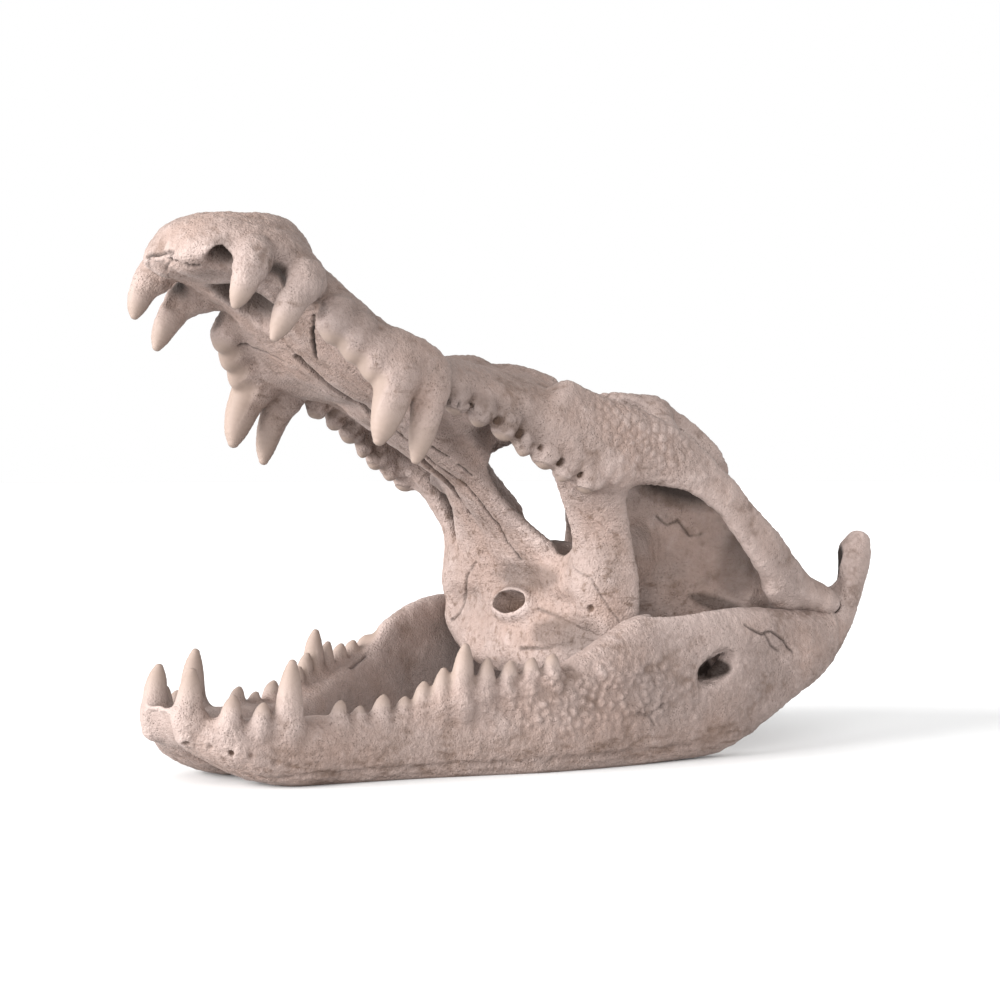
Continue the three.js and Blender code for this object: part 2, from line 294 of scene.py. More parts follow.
class Clay:
    """A grid of distances, sculpted by adding and cutting forms. It holds one half: y runs from 0 up."""

    def __init__(self, low: Point, high: Point, step: float) -> None:
        """Makes an empty grid.

        Args:
            low: the lowest corner, in millimetres; its y is 0.
            high: the highest corner.
            step: the grid's pitch.
        """
        self.step = step
        self.low = np.array(low, float)
        counts = np.ceil((np.array(high) - self.low) / step).astype(int) + 1
        self.axes = [(self.low[i] + step * np.arange(counts[i])).astype(np.float32) for i in range(3)]
        self.field = np.full(counts, EMPTY, np.float32)

    def _window(self, low: Array, high: Array) -> tuple[slice, ...]:
        """Finds the part of the grid that a box covers.

        Args:
            low: the box's lowest corner.
            high: its highest corner.
        Returns:
            The slices of the grid.
        """
        first = np.floor((low - self.low) / self.step).astype(int)
        last = np.ceil((high - self.low) / self.step).astype(int) + 1
        size = np.array(self.field.shape)
        return tuple(slice(max(a, 0), max(min(b, n), 0)) for a, b, n in zip(first, last, size))

    def measure(self, form: object, margin: float) -> tuple[tuple[slice, ...], Array]:
        """Measures a form on the grid.

        Args:
            form: anything with lumps().
            margin: how far round it to measure, in millimetres.
        Returns:
            The window of the grid that was measured and the distances in it.
        """
        lumps = form.lumps()
        low = np.min([lump[0] for lump in lumps], 0) - margin
        high = np.max([lump[1] for lump in lumps], 0) + margin
        window = self._window(low, high)
        found = np.full([s.stop - s.start for s in window], EMPTY, np.float32)
        for lump_low, lump_high, distance in lumps:
            own = self._window(lump_low - margin, lump_high + margin)
            if any(s.stop <= s.start for s in own):
                continue
            x, y, z = (self.axes[i][own[i]] for i in range(3))
            values = distance(x[:, None, None], y[None, :, None], z[None, None, :])
            inner = tuple(slice(s.start - w.start, s.stop - w.start) for s, w in zip(own, window))
            found[inner] = np.minimum(found[inner], values)
        return window, found

    def add(self, form: object, blend: float = 6.0) -> None:
        """Adds a form, with a fillet where it meets what is there."""
        window, found = self.measure(form, blend + 3)
        self.field[window] = join(self.field[window], found, blend)

    def cut(self, form: object, blend: float = 3.0) -> None:
        """Cuts a form away, with a rounded edge."""
        window, found = self.measure(form, blend + 3)
        self.field[window] = part(self.field[window], -found, blend)

    def branch(self) -> Clay:
        """Copies the clay, for what only one side has.

        Returns:
            The copy to go on with.
        """
        other = Clay.__new__(Clay)
        other.step, other.low, other.axes, other.field = self.step, self.low, self.axes, self.field.copy()
        return other


# ---------------------------------------------------------------- from clay to a mesh
# Large odd numbers that scatter neighbouring cells over the whole range.
CELL_MIX = (73856093, 19349663, 83492791)
SEED_MIX = 2654435761
STIRS = ((13, 1274126177), (16, 668265263))
KEPT_BITS = 0x7FFFFFFF
READ_BITS = 0xFFFFF


def hashed(cells: Array, seed: int) -> Array:
    """Draws a repeatable random number for each cell of a lattice.

    Args:
        cells: whole-numbered cells, with their three numbers on the last axis.
        seed: picks the pattern.
    Returns:
        The numbers, from 0 to 1.
    """
    mixed = cells[..., 0] * CELL_MIX[0] ^ cells[..., 1] * CELL_MIX[1] ^ cells[..., 2] * CELL_MIX[2]
    mixed = mixed ^ (seed * SEED_MIX)
    for shift, factor in STIRS:
        mixed = (mixed ^ (mixed >> shift)) * factor & KEPT_BITS
    return (mixed & READ_BITS) / READ_BITS


def cloud(points: Array, size: float, seed: int, octaves: int = 1) -> Array:
    """Soft noise from -1 to 1.

    Args:
        points: where to read it, in millimetres.
        size: the width of its largest blots.
        seed: picks the pattern.
        octaves: how many finer layers it has in all.
    Returns:
        The noise at each point.
    """
    total = np.zeros(len(points))
    for octave in range(octaves):
        p = points / (size / 2 ** octave)
        base = np.floor(p).astype(np.int64)
        t = p - base
        t = t * t * (3 - 2 * t)
        value = np.zeros(len(points))
        for corner in range(8):
            step = np.array([corner & 1, corner >> 1 & 1, corner >> 2 & 1])
            weight = np.prod(np.where(step, t, 1 - t), axis=1)
            value += weight * hashed(base + step, seed + 17 * octave)
        total += (value * 2 - 1) / 2 ** octave
    return total


class Relief(Enum):
    """How a lattice of uneven cells stands out of the surface."""

    DOMES = "round lumps"
    NET = "flat scales with creases between them"


DOME_RADIUS = 0.62
CREASE_WIDTH = 0.4
CREASE_ROUND = 0.6


def pebbles(points: Array, size: float, kind: Relief, seed: int) -> Array:
    """A lattice of uneven cells, as a height from 0 to 1.

    Args:
        points: where to read it, in millimetres.
        size: about how wide the cells are.
        kind: how they stand out.
        seed: picks the pattern.
    Returns:
        The height at each point.
    """
    p = points / size
    base = np.floor(p).astype(np.int64)
    first = np.full(len(points), 9.0)
    second = np.full(len(points), 9.0)
    for i in range(27):
        cell = base + np.array([i % 3 - 1, i // 3 % 3 - 1, i // 9 - 1])
        spot = cell + np.stack([hashed(cell, seed + k) for k in range(3)], 1)
        away = np.linalg.norm(p - spot, axis=1)
        second = np.minimum(second, np.maximum(away, first))
        first = np.minimum(first, away)
    if kind is Relief.DOMES:
        return np.clip(1 - (first / DOME_RADIUS) ** 2, 0, 1)
    return np.clip((second - first) / CREASE_WIDTH, 0, 1) ** CREASE_ROUND


def blurred(solid: Array, reach: int) -> Array:
    """Averages a grid twice over a box.

    Args:
        solid: how full each cell is.
        reach: how many cells the box takes in each way.
    Returns:
        The averaged grid.
    """
    out = solid
    for _ in range(2):
        for axis in range(3):
            padded = np.concatenate([np.repeat(out.take([0], axis), reach + 1, axis), out,
                                     np.repeat(out.take([-1], axis), reach, axis)], axis)
            total = np.cumsum(padded, axis=axis, dtype=np.float32)
            n = out.shape[axis]
            hi = total.take(range(2 * reach + 1, 2 * reach + 1 + n), axis)
            out = (hi - total.take(range(n), axis)) / (2 * reach + 1)
    return out


def read_grid(grid: Array, low: Array, step: float, points: Array) -> Array:
    """Reads a grid at points between its cells.

    Args:
        grid: the values.
        low: the place of its first cell, in millimetres.
        step: its pitch.
        points: where to read it.
    Returns:
        The value at each point.
    """
    p = np.clip((points - low) / step, 0, np.array(grid.shape) - 1.001)
    base = p.astype(int)
    t = p - base
    out = np.zeros(len(points))
    for corner in range(8):
        s = [corner & 1, corner >> 1 & 1, corner >> 2 & 1]
        weight = np.prod([t[:, k] if s[k] else 1 - t[:, k] for k in range(3)], axis=0)
        out += weight * grid[base[:, 0] + s[0], base[:, 1] + s[1], base[:, 2] + s[2]]
    return out


def rising(values: Array, start: float, width: float) -> Array:
    """0 up to the start, and 1 from a width beyond it."""
    return np.clip((values - start) / width, 0, 1)


def near(values: Array, middle: float, reach: float, hard: float = 1.5) -> Array:
    """1 about the middle, falling to 0 at the given reach from it."""
    return np.clip(hard * (1 - np.abs(values - middle) / reach), 0, 1)


class Skin:
    """The surface drawn off a block of clay, with its normals and what its finish reads."""

    hollow_reach = {"crease": 1.5, "hollow": 9.0}
    relief_span = 2.4
    band_cells = 4
    scale_wander = 0.3
    scale_least = 0.03
    path_margin = 9.0
    path_depth = 8.0
    path_steep = 4.0
    path_flat = 1.25
    bend_size = 6.0
    far = 99.0

    def __init__(self, clay: Clay, right: Clay) -> None:
        """Draws the surface off both halves of the clay, and keeps its largest piece.

        Args:
            clay: the left half, laid down mirrored, where y is below 0.
            right: the right half.
        """
        whole = np.concatenate([clay.field[:, :0:-1], right.field], axis=1)
        band = self.band_cells * clay.step
        whole = np.clip(whole, -band, band)
        grid = openvdb.FloatGrid(band)
        grid.copyFromArray(np.ascontiguousarray(whole, np.float32))
        points, quads = grid.convertToQuads(0.0)
        self.low = np.array([clay.low[0], -clay.axes[1][-1], clay.low[2]])
        self.points = points.astype(float) * clay.step + self.low
        self.quads = quads.astype(np.int64)
        self._keep_largest()
        if self._volume() < 0:
            self.quads = self.quads[:, ::-1]
        self.marks: dict[str, Array] = {"painted_shade": np.zeros(len(self.points))}
        self.relief = np.zeros(len(self.points))
        self._mark_hollows(whole, clay.step)

    def _volume(self) -> float:
        """Measures the volume inside.

        Returns:
            The volume, positive where the faces point out.
        """
        p = self.points
        a, b, c, d = (p[self.quads[:, k]] for k in range(4))
        return float((np.einsum("ij,ij->i", a, np.cross(b, c))
                      + np.einsum("ij,ij->i", a, np.cross(c, d))).sum() / 6)

    def _keep_largest(self) -> None:
        """Drops all but the largest connected piece."""
        label = np.arange(len(self.points))
        edges = np.concatenate([self.quads[:, [0, 1]], self.quads[:, [1, 2]], self.quads[:, [2, 3]]])
        while True:
            low = np.minimum(label[edges[:, 0]], label[edges[:, 1]])
            fresh = label.copy()
            np.minimum.at(fresh, edges[:, 0], low)
            np.minimum.at(fresh, edges[:, 1], low)
            fresh = fresh[fresh]
            if np.array_equal(fresh, label):
                break
            label = fresh
        names, counts = np.unique(label, return_counts=True)
        kept = label == names[counts.argmax()]
        place = np.cumsum(kept) - 1
        self.quads = place[self.quads[kept[self.quads[:, 0]]]]
        self.points = self.points[kept]

    def _mark_hollows(self, whole: Array, step: float) -> None:
        """Marks how deep each point lies in a hollow, at a small and a large scale, for the shade and light
        that the finish paints.

        Args:
            whole: the distances that the surface was drawn from.
            step: their pitch.
        """
        solid = np.clip(0.5 - whole / step, 0, 1)[::2, ::2, ::2].astype(np.float32)
        for name, reach in self.hollow_reach.items():
            cells = max(int(round(reach / (2 * step))), 1)
            self.marks[name] = read_grid(blurred(solid, cells), self.low, 2 * step, self.points)

    def normals(self) -> Array:
        """Works out which way the surface faces.

        Returns:
            The unit normal at each point.
        """
        p = self.points
        q = self.quads
        face = np.cross(p[q[:, 2]] - p[q[:, 0]], p[q[:, 3]] - p[q[:, 1]])
        out = np.zeros_like(p)
        for k in range(4):
            for axis in range(3):
                out[:, axis] += np.bincount(q[:, k], face[:, axis], len(p))
        return out / np.maximum(np.linalg.norm(out, axis=1), 1e-9)[:, None]

    def push(self, amount: Array, tint: float = 1.0) -> None:
        """Moves each point out along its normal.

        Args:
            amount: how far, in millimetres.
            tint: how strongly the finish paints shade into its low places and light onto its high ones.
        """
        self.points = self.points + self.normals() * amount[:, None]
        self.relief = self.relief + amount * tint

    def scales(self, share: Array, size: float, high: float, kind: Relief, seed: int,
               tint: float = 1.0) -> None:
        """Raises uneven scales or lumps.

        Args:
            share: how strongly each point has them, from 0 to 1.
            size: about how wide they are.
            high: how far they stand up.
            kind: their form.
            seed: picks the pattern.
            tint: how strongly the finish paints shade into their low places and light onto their tops.
        """
        some = np.flatnonzero(share > self.scale_least)
        bent = self.points[some]
        stray = np.stack([cloud(bent, size * 1.3, seed + k, 1) for k in (30, 40, 50)], 1)
        bent = bent + stray * size * self.scale_wander
        rise = np.zeros(len(self.points))
        rise[some] = (pebbles(bent, size, kind, seed) - 0.5) * high * share[some]
        self.push(rise, tint)

    def painted_shade(self, form: Egg, dark: float, fade: float = 6.0) -> None:
        """Paints shade inside an egg, on both sides, or on the left alone where its y is below 0.

        Args:
            form: the egg.
            dark: how dark it gets, from 0 to 1.
            fade: how far in from the egg's surface it takes to get there.
        """
        x, y, z = self.points.T
        side = y if form.centre[1] < 0 else np.abs(y)
        share = np.clip(-form.lumps()[0][2](x, side, z) / fade, 0, 1) * dark
        self.marks["painted_shade"] = np.maximum(self.marks["painted_shade"], share)

    def groove(self, path: Sequence[Point], wide: float, deep: float, dark: float = 0.8,
               wander: float = 0.9, seed: int = 1) -> None:
        """Presses a groove into the surface along a path that lies on it, and darkens it with painted shade.

        Args:
            path: the corners of the path.
            wide: half the groove's width.
            deep: its depth.
            dark: how dark it is, from 0 to 1.
            wander: how far it strays from the path.
            seed: picks how it strays.
        """
        corners = np.array(path, float)
        reach = wide + wander + self.path_margin
        inside = ((self.points > corners.min(0) - reach) & (self.points < corners.max(0) + reach)).all(1)
        some = np.flatnonzero(inside)
        normal = self.normals()[some]
        spot = self.points[some]
        bent = spot + np.stack([cloud(spot, self.bend_size, seed + k, 2) for k in (0, 50, 90)], 1) * wander
        away = np.full(len(some), self.far)
        for a, b in zip(corners[:-1], corners[1:]):
            d = b - a
            t = np.clip(((bent - a) @ d) / (d @ d), 0, 1)
            off = bent - a - t[:, None] * d
            lift = np.einsum("ij,ij->i", off, normal)
            flat = np.linalg.norm(off - lift[:, None] * normal, axis=1)
            high = np.clip(np.abs(lift) - self.path_depth, 0, None) * self.path_steep
            away = np.minimum(away, flat + high)
        depth = np.clip(self.path_flat - away / wide, 0, 1)
        press = np.zeros(len(self.points))
        press[some] = -deep * depth
        self.push(press, 0.0)
        # Painted shade in the groove, as deep as it is pressed.
        self.marks["painted_shade"][some] = np.maximum(self.marks["painted_shade"][some], depth * dark)

    def mesh(self, name: str, place: Matrix) -> bpy.types.Object:
        """Makes the Blender object.

        Args:
            name: the piece's name.
            place: takes its millimetres to metres in the shared frame.
        Returns:
            The object, smooth shaded, with its marks as attributes.
        """
        world = np.array(place)
        points = self.points @ world[:3, :3].T + world[:3, 3]
        quads = self.quads if np.linalg.det(world[:3, :3]) > 0 else self.quads[:, ::-1]
        mesh = bpy.data.meshes.new(name)
        mesh.vertices.add(len(points))
        mesh.vertices.foreach_set("co", points.astype(np.float32).ravel())
        mesh.loops.add(quads.size)
        mesh.loops.foreach_set("vertex_index", np.ascontiguousarray(quads).astype(np.int32).ravel())
        mesh.polygons.add(len(quads))
        mesh.polygons.foreach_set("loop_start", (np.arange(len(quads)) * 4).astype(np.int32))
        mesh.polygons.foreach_set("use_smooth", np.ones(len(quads), bool))
        mesh.update(calc_edges=True)
        mesh.validate()
        self.marks["relief"] = np.clip(0.5 + self.relief / self.relief_span, 0, 1)
        for mark, values in self.marks.items():
            held = mesh.attributes.new(mark, "FLOAT", "POINT")
            held.data.foreach_set("value", values.astype(np.float32))
        piece = bpy.data.objects.new(name, mesh)
        bpy.context.scene.collection.objects.link(piece)
        return piece


# ---------------------------------------------------------------- finishes
class Ink(Enum):
    """The colours of the bone and of the shade and light painted on it, as linear red, green and blue."""

    PALE = (0.322, 0.254, 0.231)
    BODY = (0.228, 0.171, 0.150)
    ROSE = (0.240, 0.170, 0.143)
    GREY = (0.166, 0.130, 0.119)
    # The brown below serves for real brown tone, pits and grain, for the facing mark and for painted shade in
    # hollows, creases and low relief.
    BROWN_AND_SHADE = (0.088, 0.050, 0.032)
    # The near black below is painted shade, for openings, pits, grooves and the hollows under bars.
    SHADE_DARK = (0.016, 0.008, 0.005)
    CREAM = (0.205, 0.152, 0.122)


@dataclass(frozen=True)
class BoneFinish:
    """Dry, matt bone, with painted shade in its hollows, creases and low relief and painted light on its
    edges and raised relief.
    """

    name: str = "bone"
    roughness: float = 0.66
    sheen: float = 0.32
    tint_scale: float = 9.0
    blot_scale: float = 26.0
    patch_scale: float = 60.0
    grain_scale: float = 260.0
    mottle_scale: float = 330.0
    dust_scale: float = 480.0
    pit_scale: float = 620.0
    speck_scale: float = 900.0
    bump: float = 0.85
    bump_height: float = 0.0011

    def make(self) -> bpy.types.Material:
        """Builds the material.

        Returns:
            The finished material.
        """
        material = bpy.data.materials.new(self.name)
        material.use_nodes = True
        desk = Desk(material.node_tree)
        place = desk.node("ShaderNodeTexCoord").outputs["Object"]
        pits = desk.cells(place, self.pit_scale)
        patches = desk.ramp(desk.noise(place, self.patch_scale, 2.0, 0.5), 0.42, 0.62)
        worn = desk.product(desk.ramp(pits, 0.30, 0.05), patches)
        grain = desk.grain(place, self.grain_scale)
        height = desk.total([
            (desk.noise(place, self.speck_scale, 3.0, 0.6), 0.7), (worn, -0.7),
            (desk.product(grain, desk.mark("grain")), 0.9),
            (desk.noise(place, self.dust_scale, 4.0, 0.6), 0.7), (pits, 0.5)])
        bump = desk.node("ShaderNodeBump")
        bump.inputs["Strength"].default_value = self.bump
        bump.inputs["Distance"].default_value = self.bump_height
        bare = desk.ramp(desk.mark("tooth"), 1.0, -0.2)
        desk.tree.links.new(desk.product(height, bare), bump.inputs["Height"])
        desk.shader.inputs["Roughness"].default_value = self.roughness
        desk.shader.inputs["Specular IOR Level"].default_value = self.sheen
        desk.tree.links.new(self._colour(desk, place, worn, grain), desk.shader.inputs["Base Color"])
        desk.tree.links.new(bump.outputs["Normal"], desk.shader.inputs["Normal"])
        return material

    def _colour(self, desk: Desk, place: object, worn: object, grain: object) -> object:
        """Lays the inks over each other: real tone, grain and wear, painted shade in hollows, creases, low
        relief, openings and grooves, and painted light on edges and raised relief.

        Args:
            desk: lays out the nodes.
            place: the place on the piece.
            worn: where fine pits have opened.
            grain: noise drawn out along the jaw.
        Returns:
            The finished colour.
        """
        blots = desk.noise(place, self.blot_scale, 3.0, 0.55)
        mottle = desk.noise(place, self.mottle_scale, 4.0, 0.7)
        hollow, crease, relief = desk.mark("hollow"), desk.mark("crease"), desk.mark("relief")
        streaks = desk.product(desk.ramp(grain, 0.52, 0.70), desk.mark("grain"))
        layers = (
            (desk.ramp(desk.noise(place, self.tint_scale, 2.0, 0.5), 0.45, 0.75, 0.7), Ink.GREY),
            # Painted light on what stands clear of hollows and creases.
            (desk.ramp(hollow, 0.52, 0.22, 0.75), Ink.PALE),
            (desk.ramp(crease, 0.47, 0.30, 0.6), Ink.PALE),
            (desk.ramp(mottle, 0.48, 0.28, 0.24), Ink.BROWN_AND_SHADE),
            (desk.ramp(mottle, 0.50, 0.72, 0.26), Ink.PALE),
            (desk.scaled(worn, 0.3), Ink.BROWN_AND_SHADE),
            # Painted shade in the low places of the fine relief and painted light on its high places.
            (desk.ramp(relief, 0.48, 0.10, 0.55), Ink.BROWN_AND_SHADE),
            (desk.ramp(relief, 0.52, 0.90, 0.6), Ink.PALE),
            (desk.scaled(streaks, 0.6), Ink.BROWN_AND_SHADE),
            # Painted shade, blotched, in deep hollows and in creases.
            (desk.product(desk.ramp(hollow, 0.55, 0.86), desk.ramp(blots, 0.2, 0.6, 0.9)), Ink.BROWN_AND_SHADE),
            (desk.ramp(crease, 0.56, 0.76, 0.75), Ink.BROWN_AND_SHADE),
            # Darker where the facing mark is set.
            (desk.scaled(desk.mark("facing_dark"), 0.6), Ink.BROWN_AND_SHADE),
            # Painted shade in openings, pits, grooves and the hollows under bars.
            (desk.mark("painted_shade"), Ink.SHADE_DARK),
            (desk.scaled(desk.mark("tooth"), 0.75), Ink.CREAM))
        colour = desk.mix(desk.ramp(blots, 0.35, 0.65), Ink.BODY, Ink.ROSE)
        for share, ink in layers:
            colour = desk.mix(share, colour, ink)
        return colour


class Desk:
    """Short calls for laying out a material's nodes."""

    def __init__(self, tree: bpy.types.NodeTree) -> None:
        """Starts from a new material's own nodes."""
        self.tree = tree
        self.shader = next(n for n in tree.nodes if n.type == "BSDF_PRINCIPLED")

    def node(self, kind: str) -> bpy.types.Node:
        """A new node of that kind."""
        return self.tree.nodes.new(kind)

    def _feed(self, value: object, socket: bpy.types.NodeSocket) -> None:
        """Fills a socket.

        Args:
            value: an ink, a number or another node's output.
            socket: where it goes.
        """
        if isinstance(value, Ink):
            socket.default_value = (*value.value, 1.0)
        elif isinstance(value, (int, float)):
            socket.default_value = value
        else:
            self.tree.links.new(value, socket)

    def mark(self, name: str) -> bpy.types.NodeSocket:
        """Reads a mark of the skin.

        Args:
            name: the mark's name.
        Returns:
            Its value.
        """
        held = self.node("ShaderNodeAttribute")
        held.attribute_name = name
        return held.outputs["Fac"]

    def noise(self, place: bpy.types.NodeSocket, scale: float, detail: float, rough: float) -> object:
        """Makes soft noise.

        Args:
            place: where to read it.
            scale: how fine it is.
            detail: how many finer layers it has.
            rough: how strong those are.
        Returns:
            The noise, about 0 to 1.
        """
        made = self.node("ShaderNodeTexNoise")
        made.inputs["Scale"].default_value = scale
        made.inputs["Detail"].default_value = detail
        made.inputs["Roughness"].default_value = rough
        self.tree.links.new(place, made.inputs["Vector"])
        return made.outputs["Fac"]

    def cells(self, place: bpy.types.NodeSocket, scale: float) -> object:
        """Makes scattered spots.

        Args:
            place: where to read them.
            scale: how fine they are.
        Returns:
            The distance to the nearest spot.
        """
        made = self.node("ShaderNodeTexVoronoi")
        made.inputs["Scale"].default_value = scale
        self.tree.links.new(place, made.inputs["Vector"])
        return made.outputs["Distance"]

    def grain(self, place: bpy.types.NodeSocket, scale: float) -> object:
        """Makes noise that is drawn out along the jaw.

        Args:
            place: where to read it.
            scale: how fine it is.
        Returns:
            The noise, about 0 to 1.
        """
        drawn = self.node("ShaderNodeMapping")
        drawn.inputs["Scale"].default_value = (0.12, 1.0, 0.8)
        self.tree.links.new(place, drawn.inputs["Vector"])
        return self.noise(drawn.outputs[0], scale, 3.0, 0.6)

    def ramp(self, value: object, start: float, end: float, top: float = 1.0) -> object:
        """Lets a value rise smoothly from nothing.

        Args:
            value: the value to read.
            start: where the result is 0; it may be the larger of the two.
            end: where the result is full.
            top: how much that is.
        Returns:
            The result.
        """
        made = self.node("ShaderNodeMapRange")
        made.interpolation_type = "SMOOTHSTEP"
        made.inputs["From Min"].default_value = min(start, end)
        made.inputs["From Max"].default_value = max(start, end)
        made.inputs["To Min"].default_value = 0.0 if start < end else top
        made.inputs["To Max"].default_value = top if start < end else 0.0
        self._feed(value, made.inputs["Value"])
        return made.outputs["Result"]

    def _maths(self, operation: str, a: object, b: object) -> object:
        """Works out one sum.

        Args:
            operation: which sum.
            a: the first number.
            b: the second.
        Returns:
            The result.
        """
        made = self.node("ShaderNodeMath")
        made.operation = operation
        self._feed(a, made.inputs[0])
        self._feed(b, made.inputs[1])
        return made.outputs[0]

    def scaled(self, value: object, factor: float) -> object:
        """The value times a fixed factor."""
        return self._maths("MULTIPLY", value, factor)

    def product(self, a: object, b: object) -> object:
        """One value times another."""
        return self._maths("MULTIPLY", a, b)

    def total(self, parts: Sequence[tuple[object, float]]) -> object:
        """Adds values up.

        Args:
            parts: each value with its weight.
        Returns:
            The sum.
        """
        out = self.scaled(*parts[0])
        for value, weight in parts[1:]:
            out = self._maths("ADD", out, self.scaled(value, weight))
        return out

    def mix(self, share: object, a: object, b: object) -> object:
        """Lays one colour over another.

        Args:
            share: how much of colour b shows.
            a: the colour below.
            b: the colour laid over it.
        Returns:
            The colour.
        """
        made = self.node("ShaderNodeMix")
        made.data_type = "RGBA"
        self._feed(share, made.inputs[0])
        self._feed(a, made.inputs[6])
        self._feed(b, made.inputs[7])
        return made.outputs[2]


# ---------------------------------------------------------------- what both jaws share
Crack = tuple[Sequence[Point], float, float, float]

# The columns of a row of teeth: place along the jaw and out from its middle, length and radius of the
# crown, and how far the tip lies from the root along the jaw and outward.
ToothRow = Sequence[tuple[float, float, float, float, float, float]]

GUM = 2.0
CROWN_REACH = 1.45
CROWN_FADE = 0.5
CROWN_RISE = 1.4


def crown_share(points: Array, teeth: ToothRow, gum: Profile, way: int) -> Array:
    """How far each point lies along a tooth's crown.

    Args:
        points: where to read it, in the jaw's own millimetres.
        teeth: the jaw's teeth.
        gum: the height of the bone's edge along the jaw.
        way: 1 where the teeth stand up, and -1 where they hang down.
    Returns:
        The share, from 0 at the gum to 1 at the tip.
    """
    share = np.zeros(len(points))
    for along, aside, crown, radius, forward, outward in teeth:
        out = (way * (points[:, 2] - float(gum(along))) - GUM) / crown
        at = np.clip(out, 0, 1)
        off = np.hypot(points[:, 0] - along - forward * at, np.abs(points[:, 1]) - aside - outward * at)
        inside = np.clip((CROWN_REACH - off / radius) / CROWN_FADE, 0, 1)
        share = np.maximum(share, np.clip(out * CROWN_RISE, 0, 1) * inside)
    return share


# ---------------------------------------------------------------- the upper jaw and braincase
@dataclass
class UpperJaw:
    """The cranium in its own frame: u runs from the joint to the snout's tip, and w is up."""

    step: float = 1.0
    joint: tuple[float, float] = (219.0, 99.5)
    gape: float = math.radians(22.5)
    tip_u: float = 526.0
    half_width: Profile = Profile([
        (222, 106), (262, 99), (300, 90), (335, 82), (362, 86), (388, 83), (414, 71), (442, 53),
        (466, 62), (484, 61), (500, 54), (513, 41), (522, 26), (527, 11)])
    top: Profile = Profile([
        (222, 73), (262, 67), (300, 57), (350, 47), (400, 51), (430, 64), (455, 75), (482, 75), (503, 67),
        (519, 56), (528, 43)])
    tooth_edge: Profile = Profile([
        (222, -4), (262, 0), (300, 7), (335, 8), (365, 1), (388, 2), (420, 16), (446, 25), (480, 29),
        (505, 24), (537, 21)])
    palate: Profile = Profile([
        (222, -10), (262, -10), (300, -6), (342, 1), (406, 10), (450, 16), (496, 21), (537, 23)])
    teeth: ToothRow = field(default_factory=lambda: [
        (494, 55, 25, 10.5, 3, 3), (462, 63, 36, 11, 8, 4), (428, 59, 7, 10.5, 0, 3),
        (414, 66, 8, 10.5, 0, 3), (400, 72, 8, 10.5, 0, 3), (384, 77, 40, 13.5, 0, 4),
        (359, 79, 42, 11.5, -4, 5), (334, 75, 2, 8, 0, 1), (314, 78, 4, 7.5, 1, 1),
        (296, 83, 3, 8.5, 0, 1), (280, 85, 5, 7, -1, 1), (263, 90, 3, 8, 1, 1),
        (247, 92, 4, 7, 0, 1), (229, 97, 2, 8, 0, 1)])
    case_half: Profile = Profile([(74, 16), (84, 30), (98, 38), (112, 34), (128, 24), (144, 16),
                                  (160, 10)])
    case_top: Profile = Profile([(74, 44), (84, 62), (98, 74), (112, 78), (160, 78)])
    case_low: Profile = Profile([(74, -26), (84, -44), (98, -50), (112, -44), (127, -10), (144, 12),
                                 (160, 52)])
    bosses: Sequence[tuple[float, ...]] = (
        (352, 24, 41, 16, 10, 8), (336, 10, 43, 10, 8, 5), (294, 30, 52, 12, 9, 8),
        (262, 34, 60, 12, 9, 8), (372, 80, 19, 20, 8, 15), (390, 74, 17, 12, 9, 15), (455, 56, 40, 13, 9, 13),
        (470, 30, 64, 16, 12, 10), (240, 44, 64, 16, 7, 5), (514, 13, 32, 9, 10, 10))
    holes: Sequence[Point] = ((523, 3, 21), (503, 5, 25), (492, 14, 24), (507, 50, 22), (471, 41, 28),
                              (464, 45, 27), (180, 1, -93), (176, 77, -70))
    # A crack's or a rut's path on the left or the right, half width, depth and the darkness of the shade
    # painted in it.
    cracks: Sequence[Crack] = (
        (((526, 14, 27), (527, -4, 27), (523, -14, 28), (514, -20, 30), (507, -28, 35)), 1.5, 2.2, 0.9),
        (((524, -14, 24), (516, 3, 23), (506, 16, 26)), 0.9, 0.9, 0.5),
        (((406, 2, 12), (390, 2, 9), (374, 3, 6), (358, 4, 5), (343, 4, 3), (333, 2, 2)), 3.2, 6.0, 1.0),
        (((445, 2, 16), (425, 1, 13), (406, 2, 12)), 1.0, 1.4, 0.6),
        (((424, 56, 18), (416, 46, 17), (411, 38, 15), (405, 22, 12)), 1.2, 1.8, 0.9),
        (((438, -46, 24), (426, -33, 20), (417, -26, 17), (405, -16, 12)), 1.3, 2.0, 1.0),
        (((330, -5, 0), (305, -7, -5), (286, -6, -10), (268, -7, -12), (250, -7, -16), (225, -5, -24),
          (203, -3, -33), (190, -9, -42)), 1.1, 1.8, 0.9),
        (((346, -76, 8), (338, -77, 10), (329, -79, 13), (321, -80, 13)), 1.2, 1.6, 0.8),
        (((310, -20, -5), (296, -21, -6), (286, -23, -8)), 1.1, 1.5, 0.9),
        (((276, -23, -9), (262, -22, -11)), 1.0, 1.4, 0.8),
        (((189, 37, -44), (187, 46, -53), (177, 56, -67), (174, 60, -79), (172, 69, -85)), 1.0, 1.1, 0.6),
        (((192, -65, -46), (186, -79, -53), (173, -85, -63), (159, -90, -73)), 0.8, 0.7, 0.45),
        (((292, 2, -9), (279, 5, -11), (261, 9, -13), (246, 15, -16), (232, 20, -21), (222, 24, -26)),
         3.2, 5.0, 0.95),
        (((118, -50, 18), (111, -56, 15), (107, -59, 21), (97, -65, 13), (90, -68, 16)), 1.1, 1.3, 0.6))
    ruts: Sequence[Crack] = (
        (((176, -26, -73), (173, -42, -76), (169, -60, -81), (163, -78, -84)), 1.3, 1.2, 0.5),
        (((174, -24, -84), (170, -42, -86), (167, -60, -88), (164, -76, -90)), 1.2, 1.0, 0.4),
        (((172, -15, -101), (172, -42, -99), (168, -62, -92)), 1.4, 1.4, 0.6))
